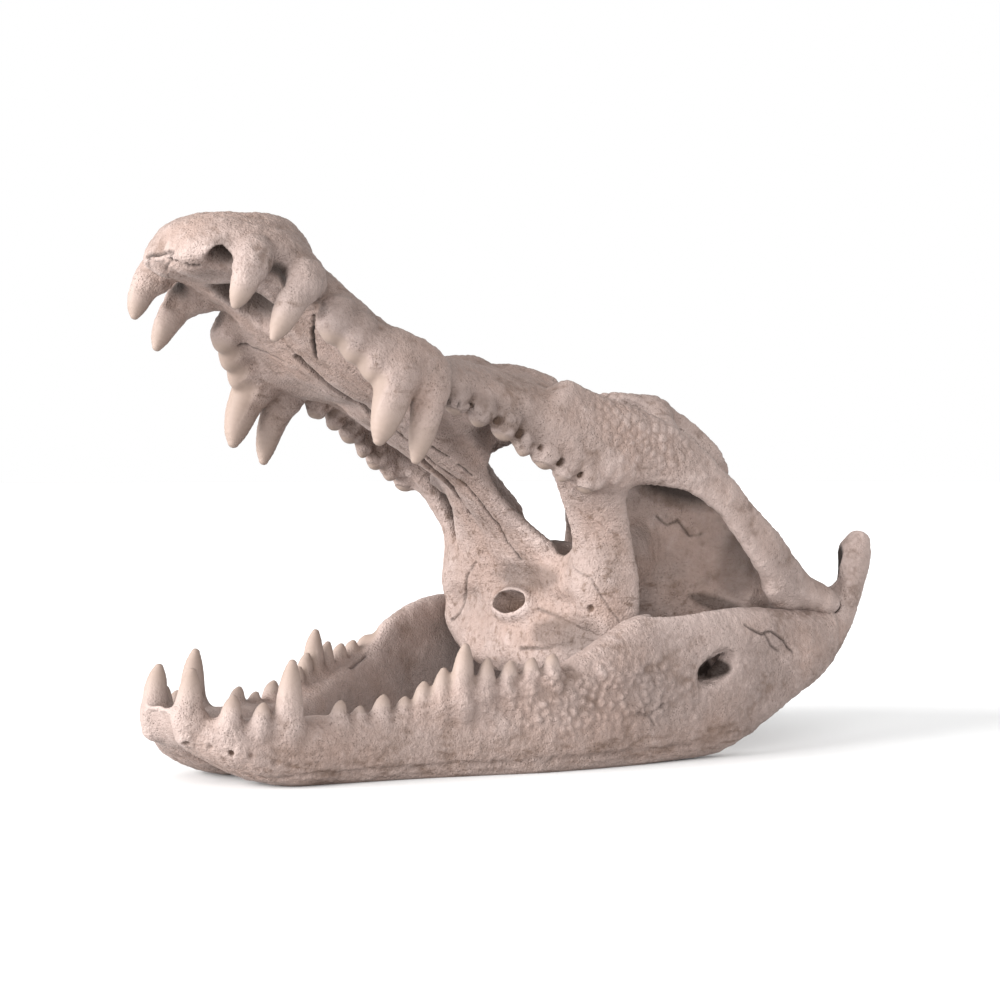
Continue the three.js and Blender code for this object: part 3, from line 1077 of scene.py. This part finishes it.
    # Spots of painted shade, each a centre, radii and darkness: in the pit behind the front teeth, the notch
    # in the lip, two pits in the tooth row, the top of the temple's hollow under the cheek bar (there with
    # brown staining), the left pterygoid fan, the left pterygoid by the choana, by the joint where the
    # quadrate meets the lower jaw, in the nostril and in the palate window; one darkens the side along the
    # back teeth.
    shade_spots: Sequence[tuple[Point, Point, float]] = (
        ((457, 6, 34), (30, 22, 20), 0.8), ((505, 37, 36), (12, 12, 13), 0.85),
        ((477, 58, 30), (9, 12, 12), 0.85), ((444, 58, 26), (8, 9, 8), 0.7),
        ((118, 58, 50), (44, 44, 24), 0.95), ((174, -60, -89), (20, 40, 17), 0.5),
        ((188, -12, -54), (16, 40, 13), 0.45), ((62, 88, 6), (24, 18, 30), 0.4),
        ((482, 0, 62), (16, 13, 14), 0.8), ((68, 82, -27), (24, 22, 7), 0.6),
        ((290, 86, 12), (66, 20, 18), 0.22), ((250, 50, 4), (60, 22, 22), 0.5))
    big_crown: float = 20.0
    socket: float = 13.0
    hole_radius: float = 2.2

    def __post_init__(self) -> None:
        """Sets out the block of clay."""
        self.clay = Clay((-22, 0, -116), (542, 134, 106), self.step)

    def palate_floor(self, u: Array, y: Array) -> Array:
        """Shapes the underside of the snout.

        Args:
            u: places along it.
            y: places across it.
        Returns:
            Its height: a low swell along the middle with a trough inside each tooth row.
        """
        edge = self.tooth_edge(u)
        side = np.abs(y) / (0.82 * self.half_width(u))
        share = np.clip(1 - side ** 3, 0, 1)
        trough = np.exp(-((side - 0.62) / 0.2) ** 2)
        return edge + (self.palate(u) - edge) * share + 4.0 * trough

    def snout(self) -> None:
        """The long vaulted body of the snout and its bosses."""
        self.clay.add(Hull(222, self.tip_u, self.half_width, self.tooth_edge, self.top, waist=0.34,
                           power=2.1, floor=self.palate_floor, edge=7.0), 1.0)
        for boss in self.bosses:
            self.clay.add(Egg(boss[:3], boss[3:]), 12.0)

    def cheek(self) -> None:
        """The bar under the eye and the temple, down to the joint."""
        self.clay.add(Strut([
            (262, 90, 30, 13, 27), (232, 95, 29, 16, 28), (205, 104, 35, 12, 25), (175, 114, 38, 7, 19),
            (150, 120, 35, 5.5, 14), (126, 123, 28.5, 5.5, 12.5), (100, 124, 18.5, 5.5, 13.5),
            (78, 123, 11, 6.5, 15), (56, 119, 4, 10, 15), (34, 113, 0, 14, 12), (14, 110, 0, 18, 9)],
            power=2.6), 8.0)
        self.clay.add(Strut([(58, 119, -7, 6, 10), (44, 115, -8, 10, 12), (31, 111, -4, 14, 10),
                             (16, 108, 0, 18, 8)], power=2), 9.0)
        self.clay.add(Strut([(150, 50, 84, 9, 8), (158, 76, 70, 8, 7), (168, 98, 54, 8, 7),
                             (172, 108, 40, 8, 8)], across=(1, 0, 0), power=2), 12.0)

    def roof(self) -> None:
        """The bridge between the eyes and the flat table behind them."""
        self.clay.add(Strut([(300, 0, 46, 34, 12), (250, 0, 60, 36, 11), (215, 0, 70, 24, 8),
                             (170, 0, 77, 27, 9)], power=2.6), 10.0)
        self.clay.add(Strut([(196, 0, 74, 22, 5), (176, 0, 78, 42, 6), (158, 0, 84, 53, 8),
                             (142, 0, 85, 60, 9), (122, 0, 80, 69, 10), (104, 0, 73, 74, 10),
                             (90, 0, 69, 68, 9)], power=4.0), 6.0)
        self.clay.add(Strut([(236, 46, 62, 7, 5), (214, 40, 69, 6, 4), (192, 38, 76, 6, 4),
                             (172, 46, 84, 7, 5), (152, 56, 85, 8, 6)], power=2), 7.0)

    def braincase(self) -> None:
        """The braincase, the quadrates and the walls that join them to the palate."""
        self.clay.add(Hull(74, 160, self.case_half, self.case_low, self.case_top, waist=0.5,
                           power=2.8), 8.0)
        self.clay.add(Egg((76, 0, 24), (13, 12, 10)), 5.0)
        self.clay.add(Strut([(122, 30, 42, 32, 14), (96, 50, 36, 32, 15), (66, 72, 22, 26, 15),
                             (36, 92, 2, 21, 16), (14, 104, 0, 11, 18)], across=(0, 0, 1)), 18.0)
        self.clay.add(Strut([(158, 62, -56, 34, 10), (130, 48, -42, 40, 12), (104, 44, -28, 42, 13),
                             (80, 58, -21, 35, 12), (52, 82, -12, 30, 10)], across=(0, 0, 1)), 18.0)
        self.clay.add(Egg((4, 109, 0), (13, 21, 11)), 6.0)

    def pterygoids(self) -> None:
        """The palatine bar, the winged plate behind it and the struts that brace it."""
        self.clay.add(Strut([
            (330, 0, 12, 40, 13), (285, 0, 0, 26, 10), (252, 0, -8, 23, 6.5), (229, 0, -16, 22, 6),
            (209, 0, -23, 24, 6.5), (190, 0, -33, 36, 9), (165, 0, -46, 50, 15)], power=2.5), 9.0)
        self.clay.add(Strut([(176, 34, -48, 14, 9), (178, 54, -46, 17, 10), (176, 72, -44, 18, 9)],
                            across=(0, 0, 1)), 12.0)
        self.clay.add(Strut([
            (160, 0, -34, 46, 16), (157, 0, -52, 66, 20), (155, 0, -70, 82, 22), (155, 0, -86, 78, 20),
            (157, 0, -98, 60, 15), (159, 0, -104, 40, 9)], power=2.7), 10.0)
        self.clay.add(Strut([
            (222, 88, 10, 22, 9), (209, 84, -2, 21, 8.5), (190, 79, -18, 20, 8), (178, 77, -34, 20, 8),
            (166, 79, -54, 20, 8), (157, 81, -74, 16, 7)], across=(-0.8, 0.6, 0)), 16.0)

    def tooth_row(self) -> None:
        """The teeth, with the swellings of their sockets."""
        for u, y, crown, radius, forward, outward in self.teeth:
            edge = float(self.tooth_edge(u))
            big = crown > self.big_crown
            root = (u, y, edge + self.socket)
            tip = (u + forward, y + outward, edge - crown)
            bend = (1.5, 3.0, 0.0) if big else (0.0, 1.0, 0.0)
            self.clay.add(Egg((u, y, edge + 5), (radius * 1.1, radius * 1.1, radius * 1.1)), 6.0)
            self.clay.add(Tooth(root, tip, radius, bend, 1.9 if big else 3.2), 4.0)
        for (u0, y0, *_), (u1, y1, *_) in zip(self.teeth[7:], self.teeth[8:]):
            u, y = (u0 + u1) / 2, (y0 + y1) / 2
            wide = 1.5 + 0.5 * math.sin(2.4 * u)
            self.clay.cut(Egg((u, y + 6, float(self.tooth_edge(u)) + 4), (wide, 4, 1.6 * wide)), 2.0)
        for u, y, w, radius in ((477, 58, 26, 7), (444, 60, 24, 5.5)):
            self.clay.cut(Egg((u, y, w), (radius, radius * 1.3, radius)), 3)

    def hollows(self) -> None:
        """Cuts the openings that are there before the cheek bar and the plate go on."""
        nostril = Egg((482, 0, 76), (18, 15, 22))
        tooth_pit = Egg((457, 6, 14), (27, 17, 30))
        spinal_hole = Egg((78, 0, 46), (14, 12, 11))
        eye = Egg((205, 62, 52), (37, 31, 44), yaw=-0.2)
        palate_window = Egg((236, 52, -2), (64, 27, 34), yaw=0.2, pitch=-0.1)
        vault = Egg((222, 0, 22), (46, 54, 36))
        temple = Egg((128, 33, 90), (17, 14, 22))
        for form, edge in ((nostril, 4), (tooth_pit, 3), (spinal_hole, 3), (eye, 6), (palate_window, 6),
                           (vault, 8), (temple, 5)):
            self.clay.cut(form, edge)

    def small_openings(self) -> None:
        """The rimmed duct in the plate, the notch in the lip and the holes for vessels."""
        self.clay.add(Egg((177, 0, -71), (10, 23, 13)), 5)
        self.clay.cut(Egg((180, 0, -71), (22, 17, 8.5)), 2)
        self.clay.cut(Egg((505, 37, 25), (9, 9, 18)), 5)
        for hole in self.holes:
            self.clay.cut(Egg(hole, [self.hole_radius] * 3), 1)

    def part_sides(self) -> Clay:
        """Gives each side what only that side has. The left side stays in the jaw's own clay.

        Returns:
            The right side.
        """
        right = self.clay.branch()
        right.add(Strut([(238, 32, -3, 12, 5), (218, 36, -14, 12, 6), (201, 42, -28, 13, 6),
                         (186, 46, -44, 12, 7)]), 9.0)
        right.add(Strut([(240, 47, 2, 20, 4), (220, 32, -8, 16, 4), (198, 32, -17, 14, 4)]), 4.0)
        right.cut(Egg((122, 42, 5), (34, 36, 19)), 4)
        right.cut(Egg((64, 122, 35), (34, 24, 20)), 6)
        window_corner = Egg((176, 46, -26), (18, 14, 12))
        fan = Strut([(184, 30, -76, 6, 4), (183, 48, -84, 10, 9), (181, 68, -91, 14, 15),
                     (176, 90, -98, 16, 20)], across=(1, 0, 0), power=2.0)
        self.clay.cut(window_corner, 4)
        self.clay.cut(fan, 4)
        return right

    def roughen(self, skin: Skin) -> None:
        """Roughens the skin and marks it for the finish.

        Args:
            skin: the cranium's skin.
        """
        p = skin.points
        u, y, w = p.T
        tooth = crown_share(p, self.teeth, self.tooth_edge, -1)
        cheek = near(u, 205, 66) * rising(w, 5, 25)
        under = rising(0.1 * (u - 300) - w, -10, 14)
        skin.marks["tooth"] = tooth
        skin.marks["grain"] = under * (1 - tooth)
        # Darker on surfaces that face up.
        skin.marks["facing_dark"] = 0.5 * rising(skin.normals()[:, 2], -0.1, 0.6) * (1 - tooth) * (
            0.75 + 0.25 * cloud(p, 30, 41, 2))
        bare = 1 - 0.85 * tooth
        skin.push(bare * (0.5 * cloud(p, 16, 3, 2) + 0.45 * cloud(p, 5, 9, 2) * (1 - 0.6 * under)))
        skin.push(bare * under * 0.3 * cloud(p * (0.12, 1, 1), 2.6, 21, 2))
        skin.scales(cheek, 6.0, 1.1, Relief.NET, 4)
        skin.scales(rising(w, 8, 20) * (1 - cheek) * (1 - tooth), 3.4, 0.4, Relief.DOMES, 6)
        row = np.clip(1 - np.abs(w - self.tooth_edge(u) - 3) / 12, 0, 1) * (u < 345)
        skin.scales(row * (np.abs(y) > 62) * (u > 222), 9.0, 1.6, Relief.DOMES, 8)

    def build(self) -> bpy.types.Object:
        """Sculpts, meshes, roughens and places the cranium.

        Returns:
            The finished piece, still without its material.
        """
        self.snout()
        self.roof()
        self.braincase()
        self.hollows()
        self.cheek()
        self.pterygoids()
        self.tooth_row()
        self.small_openings()
        skin = Skin(self.clay, self.part_sides())
        self.roughen(skin)
        # Paints shade at each spot.
        for spot, size, dark in self.shade_spots:
            skin.painted_shade(Egg(spot, size), dark, min(size) / 2)
        for path, wide, deep, dark in self.cracks:
            skin.groove(path, wide, deep, dark)
        for path, wide, deep, dark in self.ruts:
            skin.groove(path, wide, deep, dark, wander=0.3)
        return skin.mesh("cranium", self.place())

    def place(self) -> Matrix:
        """Works out where the cranium goes.

        Returns:
            What takes (u, y, w) in millimetres to the shared frame in metres.
        """
        c, s = math.cos(self.gape), math.sin(self.gape)
        x, z = self.joint
        return Matrix(((-c * MM, 0, s * MM, x * MM), (0, MM, 0, 0), (s * MM, 0, c * MM, z * MM),
                       (0, 0, 0, 1)))


# ---------------------------------------------------------------- the lower jaw
@dataclass
class LowerJaw:
    """The mandible, in the shared frame's own directions, in millimetres."""

    step: float = 1.0
    top: Profile = Profile([
        (-262, 52), (-248, 47), (-222, 42), (-190, 42), (-155, 41), (-120, 42), (-90, 51), (-66, 57),
        (-33, 63), (-12, 69), (12, 82), (36, 95), (52, 99), (75, 101), (110, 102), (135, 101), (165, 99),
        (190, 96), (214, 95)])
    low: Profile = Profile([
        (-256, 47), (-252, 34), (-246, 26), (-238, 19), (-228, 13), (-217, 7), (-203, 2), (-185, -1),
        (20, -1), (60, 0), (108, 3), (135, 12), (150, 20), (170, 31), (200, 46), (214, 57)])
    middle: Profile = Profile([
        (-262, 4), (-255, 9), (-245, 14), (-230, 24), (-190, 34), (-155, 46), (-120, 57), (-88, 69),
        (-36, 91), (-8, 98), (20, 103), (52, 107), (100, 112), (148, 115), (184, 114), (214, 109)])
    half: Profile = Profile([
        (-257, 6), (-251, 12), (-243, 18), (-230, 25), (-190, 28), (-155, 20), (-120, 17), (-88, 16),
        (-36, 15), (52, 15), (100, 15), (148, 16), (184, 19), (214, 21)])
    teeth: ToothRow = field(default_factory=lambda: [
        (-247, 18, 27, 9.5, 2, 1), (-231, 38, 14, 7.5, 3, 1), (-215, 48, 11, 7, 2, 1),
        (-198, 53, 37, 9.5, 2, 2), (-163, 56, 10, 7, 2, 1), (-149, 57, 6, 6, 2, 1),
        (-133, 60, 12, 7.5, 2, 1), (-119, 64, 9, 7, 2, 1), (-107, 68, 15, 7.5, 2, 1),
        (-96, 74, 20, 8, 2, 1), (-84, 80, 32, 9, 2, 2), (-70, 86, 19, 7.5, 2, 1),
        (-55, 91, 13, 7.5, 2, 1), (-41, 96, 12, 7.5, 2, 1), (-27, 100, 11, 7.5, 2, 1)])
    holes: Sequence[Point] = (
        (-256, 10, 34), (-253, 13, 28), (-251, 22, 29), (-245, 24, 21), (-242, 34, 27), (-233, 44, 24),
        (-224, 52, 22), (-210, 57, 17), (-200, 60, 15), (-226, 49, 16), (-219, 51, 12))
    # A crack's or a rut's path on the left or the right, half width, depth and the darkness of the shade
    # painted in it.
    cracks: Sequence[Crack] = (
        (((126, -128, 90), (132, -128, 86), (140, -129, 83), (149, -130, 84), (160, -131, 78),
          (167, -133, 69)), 1.1, 1.4, 0.7),
        (((143, -129, 83), (147, -130, 75), (154, -131, 71)), 1.0, 1.2, 0.6),
        (((32, -119, 36), (42, -121, 33), (53, -122, 40)), 1.1, 1.2, 0.3),
        (((42, -121, 33), (47, -121, 26)), 1.0, 1.1, 0.3),
        (((-222, -41, 8), (-193, -59, 8), (-126, -71, 8), (-63, -93, 9), (4, -113, 10), (79, -121, 11)),
         2.2, 1.0, 0.15),
        (((-222, 41, 8), (-193, 59, 8), (-126, 71, 8), (-63, 93, 9), (4, 113, 10), (79, 121, 11)),
         2.2, 1.0, 0.15),
        (((-58, 75, 57), (-36, 87, 63), (-13, 101, 68)), 1.3, 1.6, 0.6))
    big_crown: float = 18.0
    socket: float = 12.0
    hole_radius: float = 2.2
    flat_height: float = 1.5

    def __post_init__(self) -> None:
        """Sets out the block of clay."""
        self.clay = Clay((-270, 0, -4), (272, 136, 156), self.step)

    def body(self) -> None:
        """The long body of the jaw, and the heel behind the joint."""
        self.clay.add(Hull(-258, 214, self.half, self.low, self.top, self.middle, waist=0.5, power=2.8,
                           edge=6.0, mirrored=True), 1.0)
        self.clay.add(Strut([(190, 112, 70, 20, 26), (212, 109, 76, 20, 21), (233, 110, 94, 18, 13),
                             (244, 112, 115, 14, 13), (251, 114, 133, 11, 13), (255, 115, 143, 8, 8)],
                            power=2.4), 8.0)

    def tooth_row(self) -> None:
        """The teeth, with the swellings of their sockets."""
        for x, y, crown, radius, back, outward in self.teeth:
            edge = float(self.top(x))
            big = crown > self.big_crown
            self.clay.add(Egg((x, y, edge - 4), (radius * 1.1, radius * 1.05, radius)), 6.0)
            self.clay.add(Tooth((x, y, edge - self.socket), (x + back, y + outward, edge + crown), radius,
                                (-1.5, 1.0, 0.0), 2.0 if big else 2.6), 4.0 if big else 2.5)

    def hollows(self) -> None:
        """The muscle's trough, the heel's hollow, the opening in the side and the joint's seat."""
        cut = self.clay.cut
        cut(Egg((104, 109, 92), (52, 8, 40)), 4)
        cut(Egg((106, 95, 93), (58, 12, 24)), 4)
        cut(Egg((238, 102, 128), (10, 13, 24), pitch=-0.25), 2)
        for hole in self.holes:
            cut(Egg(hole, [self.hole_radius] * 3), 1)
        cut(Egg((99, 128, 62), (19, 10, 10), pitch=-0.5), 4)
        cut(Egg((100, 120, 62), (15, 16, 4), pitch=-0.6), 1.5)
        cut(Egg((95, 120, 58), (7, 16, 4), pitch=0.3), 1.5)
        cut(Egg((219, 109, 99.5), (11, 20, 9)), 2)
        cut(Egg((220, 108, 119), (15, 27, 17)), 3)

    def roughen(self, skin: Skin) -> None:
        """Roughens the skin above its flats and marks it for the finish.

        Args:
            skin: the mandible's skin.
        """
        p = skin.points
        x, y, z = p.T
        tooth = crown_share(p, self.teeth, self.top, 1)
        outer = rising(skin.normals()[:, 1] * np.sign(y), 0.1, 0.3) * (1 - tooth)
        side = outer * near(x, 5, 110, 1.4) * near(z, 48, 32, 1.6)
        low = rising(-z, -30, 16)
        free = np.where(z < self.flat_height, 0, 1)
        bare = free * (1 - 0.85 * tooth)
        skin.marks["tooth"] = tooth
        skin.marks["grain"] = low * (1 - tooth)
        # Darker low on the outer side.
        skin.marks["facing_dark"] = 0.3 * outer * low * (0.7 + 0.3 * cloud(p, 24, 43, 2))
        skin.push(bare * (0.5 * cloud(p, 16, 5, 2) + 0.3 * cloud(p, 5, 11, 2)))
        skin.push(bare * low * 0.4 * cloud(p * (0.14, 1, 1), 3.0, 23, 2))
        skin.scales(side, 5.6, 2.2, Relief.DOMES, 14, 0.25)
        skin.scales(outer * (1 - side) * free, 3.4, 0.45, Relief.DOMES, 16)

    def build(self) -> bpy.types.Object:
        """Sculpts, meshes, roughens and places the mandible.

        Returns:
            The finished piece, still without its material.
        """
        self.body()
        self.tooth_row()
        self.hollows()
        right = self.clay.branch()
        right.add(Strut([(-32, 91, 50, 8, 12), (-5, 96, 74, 8, 14), (15, 99, 86, 8, 12),
                         (42, 104, 93, 9, 10), (70, 107, 93, 9, 9)]), 8.0)
        skin = Skin(self.clay, right)
        self.roughen(skin)
        for path, wide, deep, dark in self.cracks:
            skin.groove(path, wide, deep, dark)
        # Painted shade in the slit of the opening in the side and in the heel's hollow.
        skin.painted_shade(Egg((100, 112, 61), (18, 24, 9)), 0.97, 3)
        skin.painted_shade(Egg((238, 102, 128), (12, 15, 26), pitch=-0.25), 0.95, 2)
        skin.points[:, 2] = np.maximum(skin.points[:, 2], 0)
        return skin.mesh("mandible", Matrix.Scale(MM, 4))


# ---------------------------------------------------------------- the studio
@dataclass(frozen=True)
class Studio:
    """The camera, the lights and the floor."""

    azimuth: float = math.radians(-40.0)
    elevation: float = math.radians(0.735)
    distance: float = 1.5115
    target: tuple[float, float, float] = (0.015, 0.0, 0.174)
    lens: float = 78.85
    sensor: float = 36.0
    far_end: float = 100.0
    key: float = 9.2
    key_from: tuple[float, float, float] = (-0.95, 0.22, 0.22)
    fill: float = 2.2
    fill_from: tuple[float, float, float] = (-0.6, -0.75, 0.35)
    lamp_width: float = math.radians(45.0)
    sky: float = 1.0
    floor_size: float = 60.0
    floor_tone: tuple[float, float, float, float] = (0.72, 0.72, 0.72, 1.0)
    floor_roughness: float = 0.9

    def camera(self) -> None:
        """Places the camera and makes it the scene's own."""
        az, el = self.azimuth, self.elevation
        back = Vector((math.sin(az) * math.cos(el), -math.cos(az) * math.cos(el), math.sin(el)))
        right = Vector((math.cos(az), math.sin(az), 0.0))
        data = bpy.data.cameras.new("camera")
        data.lens = self.lens
        data.sensor_width = self.sensor
        data.clip_end = self.far_end
        seat = bpy.data.objects.new("camera", data)
        turn = Matrix((right, back.cross(right), back)).transposed().to_4x4()
        seat.matrix_world = Matrix.Translation(Vector(self.target) + back * self.distance) @ turn
        bpy.context.scene.collection.objects.link(seat)
        bpy.context.scene.camera = seat

    def sun(self, name: str, strength: float, place: Point) -> None:
        """Adds a broad lamp far away.

        Args:
            name: its name.
            strength: its strength.
            place: the direction it shines from.
        """
        data = bpy.data.lights.new(name, "SUN")
        data.energy = strength
        data.angle = self.lamp_width
        lamp = bpy.data.objects.new(name, data)
        lamp.rotation_euler = Vector(place).to_track_quat("Z", "Y").to_euler()
        bpy.context.scene.collection.objects.link(lamp)

    def air(self) -> None:
        """Lights everything evenly from a white sky, shown as it is."""
        scene = bpy.context.scene
        world = bpy.data.worlds.new("sky")
        world.use_nodes = True
        light = world.node_tree.nodes["Background"].inputs
        light["Color"].default_value = (1, 1, 1, 1)
        light["Strength"].default_value = self.sky
        scene.world = world
        scene.view_settings.view_transform = "Standard"
        scene.view_settings.look = "None"

    def floor(self) -> None:
        """Lays the pale floor."""
        half = self.floor_size / 2
        mesh = bpy.data.meshes.new("floor")
        mesh.from_pydata([(-half, -half, 0), (half, -half, 0), (half, half, 0), (-half, half, 0)], [],
                         [(0, 1, 2, 3)])
        floor = bpy.data.objects.new("floor", mesh)
        bpy.context.scene.collection.objects.link(floor)
        paint = bpy.data.materials.new("pale_floor")
        paint.use_nodes = True
        coat = paint.node_tree.nodes["Principled BSDF"].inputs
        coat["Base Color"].default_value = self.floor_tone
        coat["Roughness"].default_value = self.floor_roughness
        mesh.materials.append(paint)

    def build(self) -> None:
        """Sets out camera, lamps, sky and floor."""
        self.camera()
        self.sun("key", self.key, self.key_from)
        self.sun("fill", self.fill, self.fill_from)
        self.air()
        self.floor()


UPPER_NODES = ("premaxillae", "maxillae", "skull_roof", "jugal_left", "jugal_right", "ectopterygoid_left",
               "ectopterygoid_right", "quadrate_left", "quadrate_right", "braincase", "palate")
LOWER_NODES = ("dentary_left", "dentary_right", "angular_left", "angular_right", "articular_left",
               "articular_right")


def settle(piece: bpy.types.Object, material: bpy.types.Material, nodes: Sequence[str]) -> None:
    """Dresses a piece and puts it in the frame in place of its solids.

    Args:
        piece: the piece.
        material: its finish.
        nodes: the solids that it stands for.
    """
    piece.data.materials.append(material)
    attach(piece, BODY)
    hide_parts(*nodes)
    log.info("%s: %d faces", piece.name, len(piece.data.polygons))


def corners(box: Sequence[Vector]) -> list[list[float]]:
    """A box's two corners as plain lists."""
    return [list(map(float, corner)) for corner in box]


def main() -> None:
    """Builds the studio and the skull in order."""
    logging.basicConfig(level=logging.INFO, format="%(name)s: %(message)s")
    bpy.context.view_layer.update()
    Studio().build()
    bone = BoneFinish().make()
    settle(UpperJaw().build(), bone, UPPER_NODES)
    settle(LowerJaw().build(), bone, LOWER_NODES)


if __name__ == "__main__":
    main()
